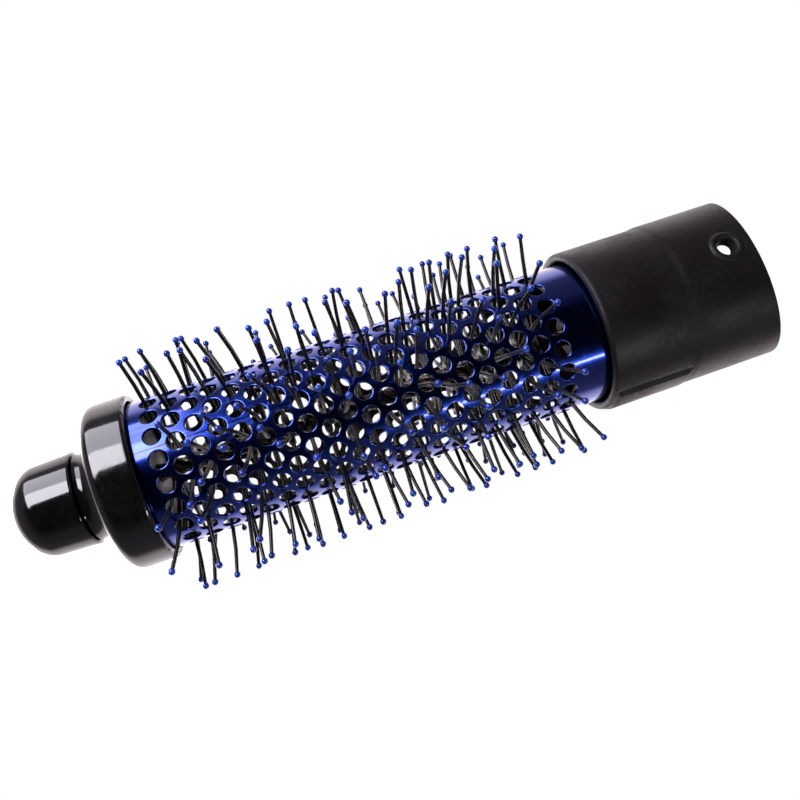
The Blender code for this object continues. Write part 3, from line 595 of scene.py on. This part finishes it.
def make_cool_tip(finish):
    """The knob: a quarter of a flattened circle from its pole to the side, the straight side,
    a rounded lower edge, and the bore that turns on the spindle and takes the screw."""
    dome_start = TIP_HIGH - KNOB_DOME
    climb = np.linspace(pi / 2, 0.0, 26)
    dome_radius = (KNOB_RADIUS - KNOB_DRAFT) * np.cos(climb) ** 0.94
    dome = np.stack([dome_radius, dome_start + KNOB_DOME * np.sin(climb)], axis=-1)
    dome[0, 0] = 0.0
    bearing = SPINDLE_RADIUS + RUNNING_GAP
    spindle_top = TIP_LOW + KNOB_BORE_DEPTH
    screw_end = spindle_top + KNOB_SCREW_DEPTH
    rest = eased([
        (KNOB_RADIUS - 0.85 * KNOB_DRAFT, dome_start - 1.2 * MM, 0.0),
        (KNOB_RADIUS, TIP_LOW, 0.6 * MM), (bearing, TIP_LOW, 0.2 * MM),
        (bearing, spindle_top + RUNNING_GAP, 0.2 * MM),
        (SCREW_BORE, spindle_top + RUNNING_GAP, 0.15 * MM),
        (SCREW_BORE, screw_end + RUNNING_GAP, 0.15 * MM), (0.0, screw_end + RUNNING_GAP, 0.0),
    ], 7)
    grid = revolved(np.concatenate([dome, rest]))
    return add_piece(
        "turning_cool_tip", [(grid, False, True)], finish, "tip", ["cool_tip"],
    )


# ---- Finishes ------------------------------------------------------------------------------
def new_group(name, inputs, outputs):
    """A shader node group with float inputs {name: default} and outputs [(name, type)]."""
    group = bpy.data.node_groups.new(name, "ShaderNodeTree")
    group.interface.new_socket("Place", in_out="INPUT", socket_type="NodeSocketVector")
    for label, value in inputs.items():
        made = group.interface.new_socket(label, in_out="INPUT", socket_type="NodeSocketFloat")
        made.default_value = value
    for label, kind in outputs:
        group.interface.new_socket(label, in_out="OUTPUT", socket_type=kind)
    start = group.nodes.new("NodeGroupInput")
    end = group.nodes.new("NodeGroupOutput")
    return group, start, end


def math_node(tree, operation, first, second=None, third=None):
    """A Math node whose inputs are sockets or numbers; returns its output."""
    made = tree.nodes.new("ShaderNodeMath")
    made.operation = operation
    for slot, value in zip(made.inputs, (first, second, third)):
        if isinstance(value, bpy.types.NodeSocket):
            tree.links.new(value, slot)
        elif value is not None:
            slot.default_value = value
    return made.outputs[0]


def noise_node(tree, place, scale, detail=3.0, roughness=0.5):
    made = tree.nodes.new("ShaderNodeTexNoise")
    made.inputs["Detail"].default_value = detail
    made.inputs["Roughness"].default_value = roughness
    if isinstance(scale, bpy.types.NodeSocket):
        tree.links.new(scale, made.inputs["Scale"])
    else:
        made.inputs["Scale"].default_value = scale
    tree.links.new(place, made.inputs["Vector"])
    return made.outputs["Fac"]


def ramp_node(tree, fac, stops):
    """A colour ramp through (place, colour) stops; returns its colour output."""
    made = tree.nodes.new("ShaderNodeValToRGB")
    ramp = made.color_ramp
    while len(ramp.elements) < len(stops):
        ramp.elements.new(0.5)
    for element, (place, colour) in zip(ramp.elements, stops):
        element.position = place
        element.color = (*colour, 1.0)
    tree.links.new(fac, made.inputs["Fac"])
    return made.outputs["Color"]


def moulded_grain_group():
    """Spark-eroded mould texture: fine pebbles over a slower unevenness, as a height."""
    group, start, end = new_group(
        "moulded_grain", {"Pebbles": 2600.0, "Unevenness": 160.0},
        [("Height", "NodeSocketFloat")],
    )
    place = start.outputs["Place"]
    fine = noise_node(group, place, start.outputs["Pebbles"], 2.0, 0.6)
    slow = noise_node(group, place, start.outputs["Unevenness"], 3.0, 0.55)
    pebbles = math_node(group, "MULTIPLY", fine, 0.7)
    waves = math_node(group, "MULTIPLY", slow, 0.3)
    height = math_node(group, "ADD", pebbles, waves)
    group.links.new(height, end.inputs["Height"])
    return group


def handling_group():
    """Wear from hands: faint smudges and hairline scuffs, as a roughness that runs between
    Clean and Smudged, and the smudges as a mask."""
    group, start, end = new_group(
        "handling", {"Clean": 0.1, "Smudged": 0.25, "Size": 90.0},
        [("Roughness", "NodeSocketFloat"), ("Mask", "NodeSocketFloat")],
    )
    place = start.outputs["Place"]
    smudge = noise_node(group, place, start.outputs["Size"], 4.0, 0.6)
    finer = math_node(group, "MULTIPLY", start.outputs["Size"], 14.0)
    scuff = noise_node(group, place, finer, 2.0, 0.7)
    both = math_node(group, "MULTIPLY_ADD", scuff, 0.35, math_node(group, "MULTIPLY", smudge, 0.65))
    soft = group.nodes.new("ShaderNodeMapRange")
    soft.interpolation_type = "SMOOTHSTEP"
    soft.inputs["From Min"].default_value = 0.42
    soft.inputs["From Max"].default_value = 0.66
    group.links.new(both, soft.inputs["Value"])
    mask = soft.outputs["Result"]
    gap = math_node(group, "SUBTRACT", start.outputs["Smudged"], start.outputs["Clean"])
    rough = math_node(group, "MULTIPLY_ADD", mask, gap, start.outputs["Clean"])
    group.links.new(rough, end.inputs["Roughness"])
    group.links.new(mask, end.inputs["Mask"])
    return group


def drawn_lines_group():
    """Lines left by rolling or drawing: noise squeezed along one direction, as a mask."""
    group, start, end = new_group(
        "drawn_lines", {"Lines": 900.0, "Length": 0.03}, [("Mask", "NodeSocketFloat")],
    )
    stretch = group.nodes.new("ShaderNodeVectorMath")
    stretch.operation = "MULTIPLY"
    group.links.new(start.outputs["Place"], stretch.inputs[0])
    combine = group.nodes.new("ShaderNodeCombineXYZ")
    combine.inputs["X"].default_value = 1.0
    combine.inputs["Y"].default_value = 1.0
    group.links.new(start.outputs["Length"], combine.inputs["Z"])
    group.links.new(combine.outputs["Vector"], stretch.inputs[1])
    lines = noise_node(group, stretch.outputs["Vector"], start.outputs["Lines"], 3.0, 0.65)
    group.links.new(lines, end.inputs["Mask"])
    return group


def new_finish(name):
    """A material with a Principled shader and Object coordinates."""
    made = bpy.data.materials.new(name)
    made.use_nodes = True
    tree = made.node_tree
    shader = tree.nodes["Principled BSDF"]
    place = tree.nodes.new("ShaderNodeTexCoord").outputs["Object"]
    return made, tree, shader, place


def use_group(tree, group, place, **values):
    made = tree.nodes.new("ShaderNodeGroup")
    made.node_tree = group
    tree.links.new(place, made.inputs["Place"])
    for label, value in values.items():
        made.inputs[label].default_value = value
    return made.outputs


def add_bump(tree, shader, height, depth, strength=1.0):
    bump = tree.nodes.new("ShaderNodeBump")
    bump.inputs["Strength"].default_value = strength
    bump.inputs["Distance"].default_value = depth
    tree.links.new(height, bump.inputs["Height"])
    tree.links.new(bump.outputs["Normal"], shader.inputs["Normal"])


def set_all(shader, **values):
    for label, value in values.items():
        shader.inputs[label.replace("_", " ")].default_value = value


def matt_black_plastic(groups):
    """Moulded black plastic with a spark-eroded grain, a little greyer on the grain's tops,
    and the shallow ring that the mould's core leaves round the latch hole."""
    made, tree, shader, place = new_finish("matt_black_plastic")
    grain = use_group(tree, groups["moulded_grain"], place, Pebbles=3200.0, Unevenness=110.0)
    worn = use_group(tree, groups["handling"], place, Clean=0.42, Smudged=0.6, Size=70.0)
    colour = ramp_node(tree, grain["Height"], [
        (0.3, (0.0030, 0.0020, 0.0022)), (0.7, (0.0085, 0.0062, 0.0066)),
    ])
    tree.links.new(colour, shader.inputs["Base Color"])
    tree.links.new(worn["Roughness"], shader.inputs["Roughness"])
    from_hole = tree.nodes.new("ShaderNodeVectorMath")
    from_hole.operation = "DISTANCE"
    tree.links.new(place, from_hole.inputs[0])
    from_hole.inputs[1].default_value = around(LATCH_TURN, REAR_RADIUS, LATCH_HEIGHT)
    off_ring = math_node(tree, "SUBTRACT", from_hole.outputs["Value"], LATCH_RING)
    ring = math_node(tree, "LESS_THAN", math_node(tree, "ABSOLUTE", off_ring), LATCH_RING_HALF)
    height = math_node(tree, "MULTIPLY_ADD", ring, -1.6, grain["Height"])
    add_bump(tree, shader, height, 0.00006, 0.8)
    set_all(shader, Specular_IOR_Level=0.3)
    return made


def gloss_black_plastic(groups):
    """Polished black plastic: a clear deep gloss with faint smudges, and a slight waviness."""
    made, tree, shader, place = new_finish("gloss_black_plastic")
    worn = use_group(tree, groups["handling"], place, Clean=0.1, Smudged=0.2, Size=60.0)
    grain = use_group(tree, groups["moulded_grain"], place, Pebbles=300.0, Unevenness=40.0)
    colour = ramp_node(tree, worn["Mask"], [
        (0.0, (0.0030, 0.0026, 0.0028)), (1.0, (0.0085, 0.0070, 0.0070)),
    ])
    tree.links.new(colour, shader.inputs["Base Color"])
    tree.links.new(worn["Roughness"], shader.inputs["Roughness"])
    add_bump(tree, shader, grain["Height"], 0.00001, 0.5)
    set_all(shader, Coat_Weight=0.35, Coat_Roughness=0.05, IOR=1.5)
    return made


def blue_anodised(groups):
    """Blue anodised sheet: fine lines along the barrel, a painted highlight of lighter blue on the
    holes' rounded edges, a dark seam, and a plain dark oxide inside."""
    made, tree, shader, place = new_finish("blue_anodised_aluminium")
    lines = use_group(tree, groups["drawn_lines"], place, Lines=1100.0, Length=0.02)["Mask"]
    worn = use_group(tree, groups["handling"], place, Clean=0.16, Smudged=0.26, Size=55.0)
    colour = ramp_node(tree, lines, [
        (0.3, (0.0070, 0.0200, 0.200)), (0.55, (0.0120, 0.0350, 0.300)),
        (0.75, (0.022, 0.065, 0.400)),
    ])
    rim = tree.nodes.new("ShaderNodeAttribute")
    rim.attribute_name = "rim"
    inside = tree.nodes.new("ShaderNodeAttribute")
    inside.attribute_name = "inside"

    # Painted highlight: the rim mark mixes a lighter blue into the holes' rounded edges.
    edge = tree.nodes.new("ShaderNodeMix")
    edge.data_type = "RGBA"
    edge.inputs["B"].default_value = (0.05, 0.15, 0.75, 1.0)
    tree.links.new(math_node(tree, "MULTIPLY", rim.outputs["Fac"], 0.4), edge.inputs["Factor"])
    tree.links.new(colour, edge.inputs["A"])

    split = tree.nodes.new("ShaderNodeSeparateXYZ")
    tree.links.new(place, split.inputs["Vector"])
    ahead = math_node(tree, "MULTIPLY", split.outputs["Y"], -1.0)
    turn = math_node(tree, "ARCTAN2", split.outputs["X"], ahead)
    off_seam = math_node(tree, "ABSOLUTE", math_node(tree, "SUBTRACT", turn, SEAM_TURN))
    seam = math_node(tree, "LESS_THAN", off_seam, SEAM_HALF)
    dark = tree.nodes.new("ShaderNodeMix")
    dark.data_type = "RGBA"
    dark.inputs["B"].default_value = (0.001, 0.002, 0.012, 1.0)
    tree.links.new(seam, dark.inputs["Factor"])
    tree.links.new(edge.outputs["Result"], dark.inputs["A"])

    bare = tree.nodes.new("ShaderNodeMix")
    bare.data_type = "RGBA"
    bare.inputs["B"].default_value = (0.050, 0.044, 0.046, 1.0)
    tree.links.new(inside.outputs["Fac"], bare.inputs["Factor"])
    tree.links.new(dark.outputs["Result"], bare.inputs["A"])
    tree.links.new(bare.outputs["Result"], shader.inputs["Base Color"])
    rough = math_node(tree, "MULTIPLY_ADD", inside.outputs["Fac"], 0.12, worn["Roughness"])
    tree.links.new(rough, shader.inputs["Roughness"])
    height = math_node(tree, "MULTIPLY_ADD", seam, -1.5, lines)
    add_bump(tree, shader, height, 0.00002, 0.35)
    set_all(shader, Metallic=1.0, Coat_Weight=0.6, Coat_Roughness=0.08, Coat_IOR=1.6)
    return made


def black_nylon(groups):
    """Drawn nylon: black, smooth and glossy, with faint smudges."""
    made, tree, shader, place = new_finish("black_nylon")
    worn = use_group(tree, groups["handling"], place, Clean=0.26, Smudged=0.42, Size=400.0)
    colour = ramp_node(tree, worn["Mask"], [
        (0.0, (0.0020, 0.0015, 0.0018)), (1.0, (0.0050, 0.0038, 0.0044)),
    ])
    tree.links.new(colour, shader.inputs["Base Color"])
    tree.links.new(worn["Roughness"], shader.inputs["Roughness"])
    set_all(shader, IOR=1.53)
    return made


def blue_tip_plastic(groups):
    """The bristles' ball tips: glossy blue, a little lighter and darker from ball to ball."""
    made, tree, shader, place = new_finish("blue_tip_plastic")
    shade = noise_node(tree, place, 130.0, 1.0, 0.4)
    worn = use_group(tree, groups["handling"], place, Clean=0.13, Smudged=0.26, Size=500.0)
    colour = ramp_node(tree, shade, [
        (0.35, (0.004, 0.022, 0.22)), (0.65, (0.010, 0.055, 0.40)),
    ])
    tree.links.new(colour, shader.inputs["Base Color"])
    tree.links.new(worn["Roughness"], shader.inputs["Roughness"])
    set_all(shader, IOR=1.5, Coat_Weight=0.3, Coat_Roughness=0.08)
    return made


def zinc_steel(groups):
    """Zinc plated screws and washers: pale grey metal with a mottled plating."""
    made, tree, shader, place = new_finish("zinc_plated_steel")
    worn = use_group(tree, groups["handling"], place, Clean=0.24, Smudged=0.42, Size=350.0)
    colour = ramp_node(tree, worn["Mask"], [
        (0.0, (0.52, 0.53, 0.55)), (1.0, (0.33, 0.34, 0.36)),
    ])
    tree.links.new(colour, shader.inputs["Base Color"])
    tree.links.new(worn["Roughness"], shader.inputs["Roughness"])
    set_all(shader, Metallic=1.0)
    return made


def dark_wire(groups):
    """The core's wires: dark steel, mottled where it has oxidised."""
    made, tree, shader, place = new_finish("dark_core_wire")
    worn = use_group(tree, groups["handling"], place, Clean=0.25, Smudged=0.45, Size=500.0)
    colour = ramp_node(tree, worn["Mask"], [
        (0.0, (0.13, 0.105, 0.085)), (1.0, (0.040, 0.032, 0.028)),
    ])
    tree.links.new(colour, shader.inputs["Base Color"])
    tree.links.new(worn["Roughness"], shader.inputs["Roughness"])
    set_all(shader, Metallic=1.0)
    return made


def refinish(finish, *nodes):
    """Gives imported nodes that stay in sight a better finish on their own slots."""
    for name in nodes:
        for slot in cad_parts[name].material_slots:
            slot.material = finish


# ---- Camera, floor and light ---------------------------------------------------------------
CAMERA_PLACE = Vector((0.0, -0.17236, 0.11177))
CAMERA_LOOK = Vector((-0.00935, 0.99176, -0.12779))
CAMERA_UP = Vector((0.94766, -0.03200, -0.31769))
CAMERA_LENS = 35.45
AIM = Vector((0.0, 0.0, 0.098))


def make_camera():
    data = bpy.data.cameras.new("camera")
    data.lens = CAMERA_LENS
    data.sensor_width = 36.0
    data.clip_start = 0.005
    data.clip_end = 20.0
    camera = bpy.data.objects.new("camera", data)
    bpy.context.scene.collection.objects.link(camera)
    right = CAMERA_LOOK.cross(CAMERA_UP).normalized()
    up = right.cross(CAMERA_LOOK).normalized()
    turned = Matrix((right, up, -CAMERA_LOOK.normalized())).transposed()
    camera.matrix_world = Matrix.Translation(CAMERA_PLACE) @ turned.to_4x4()
    bpy.context.scene.camera = camera


def make_floor():
    """A wide pale floor that glows evenly, so that it and the backdrop are one white."""
    mesh = bpy.data.meshes.new("floor")
    half, under = 6.0, -0.05 * MM
    corners = [
        (-half, -half, under), (half, -half, under), (half, half, under), (-half, half, under),
    ]
    mesh.from_pydata(corners, [], [(0, 1, 2, 3)])
    made = bpy.data.materials.new("floor")
    made.use_nodes = True
    tree = made.node_tree
    tree.nodes.remove(tree.nodes["Principled BSDF"])
    glow = tree.nodes.new("ShaderNodeEmission")
    glow.inputs["Strength"].default_value = 1.0
    tree.links.new(glow.outputs[0], tree.nodes["Material Output"].inputs["Surface"])
    mesh.materials.append(made)
    floor = bpy.data.objects.new("floor", mesh)
    bpy.context.scene.collection.objects.link(floor)
    floor.visible_diffuse = floor.visible_glossy = floor.visible_shadow = False


def add_panel(name, turn, climb, far, width, tall, power, colour=(1.0, 1.0, 1.0)):
    """A soft panel light that faces the brush from a turn and a climb above the level."""
    data = bpy.data.lights.new(name, "AREA")
    data.shape = "RECTANGLE"
    data.size, data.size_y = width, tall
    data.energy = power
    data.color = colour
    lamp = bpy.data.objects.new(name, data)
    bpy.context.scene.collection.objects.link(lamp)
    turn, climb = radians(turn), radians(climb)
    away = Vector((sin(turn) * cos(climb), -cos(turn) * cos(climb), sin(climb)))
    facing = away.to_track_quat("Z", "Y").to_matrix().to_4x4()
    lamp.matrix_world = Matrix.Translation(AIM + away * far) @ facing
    return lamp


def make_light():
    """A white surround behind the brush and a dimmer one on the camera's side, with two soft
    panels above, a narrow one below and a fill from behind."""
    world = bpy.data.worlds.new("studio")
    bpy.context.scene.world = world
    world.use_nodes = True
    tree = world.node_tree
    back = tree.nodes["Background"]
    seen = tree.nodes.new("ShaderNodeBackground")
    seen.inputs["Color"].default_value = (1.0, 1.0, 1.0, 1.0)
    seen.inputs["Strength"].default_value = 1.0
    split = tree.nodes.new("ShaderNodeSeparateXYZ")
    place = tree.nodes.new("ShaderNodeTexCoord").outputs["Generated"]
    tree.links.new(place, split.inputs["Vector"])
    colour = ramp_node(tree, math_node(tree, "MULTIPLY_ADD", split.outputs["Y"], 0.5, 0.5), [
        (0.0, (0.003, 0.003, 0.003)), (0.16, (0.005, 0.005, 0.005)), (0.30, (0.050, 0.048, 0.054)),
        (0.62, (0.075, 0.070, 0.080)), (0.71, (0.50, 0.45, 0.48)), (1.0, (0.62, 0.57, 0.60)),
    ])
    tree.links.new(colour, back.inputs["Color"])
    back.inputs["Strength"].default_value = 3.0
    mix = tree.nodes.new("ShaderNodeMixShader")
    camera_ray = tree.nodes.new("ShaderNodeLightPath").outputs["Is Camera Ray"]
    tree.links.new(camera_ray, mix.inputs["Fac"])
    tree.links.new(back.outputs[0], mix.inputs[1])
    tree.links.new(seen.outputs[0], mix.inputs[2])
    tree.links.new(mix.outputs[0], tree.nodes["World Output"].inputs["Surface"])
    bpy.context.scene.view_settings.view_transform = "Standard"
    add_panel("key_panel", 58.0, 29.0, 0.5, 0.56, 0.31, 3.4, (0.92, 0.89, 1.0))
    add_panel("key_core", 40.0, 30.0, 0.49, 0.22, 0.28, 1.5, (0.95, 0.92, 1.0))
    add_panel("low_strip", -46.0, -24.0, 0.4, 0.02, 0.22, 0.3)
    add_panel("rear_fill", 180.0, 35.0, 0.6, 0.5, 0.5, 3.0)


# ---- The brush -----------------------------------------------------------------------------
make_camera()
make_floor()
make_light()

effects = {
    "moulded_grain": moulded_grain_group(),
    "handling": handling_group(),
    "drawn_lines": drawn_lines_group(),
}
matt_black = matt_black_plastic(effects)
gloss_black = gloss_black_plastic(effects)
zinc = zinc_steel(effects)

make_barrel(blue_anodised(effects))
make_bristles(black_nylon(effects), blue_tip_plastic(effects))
make_core(dark_wire(effects))
make_sleeve(matt_black)
make_end_cap(gloss_black)
make_cool_tip(gloss_black)
refinish(matt_black, "rear_collar", "air_spider", "front_core_plug")
refinish(
    zinc, "collar_screw_1", "collar_screw_2", "collar_screw_3", "collar_screw_4",
    "core_lock_washer", "tip_washer", "tip_screw",
)
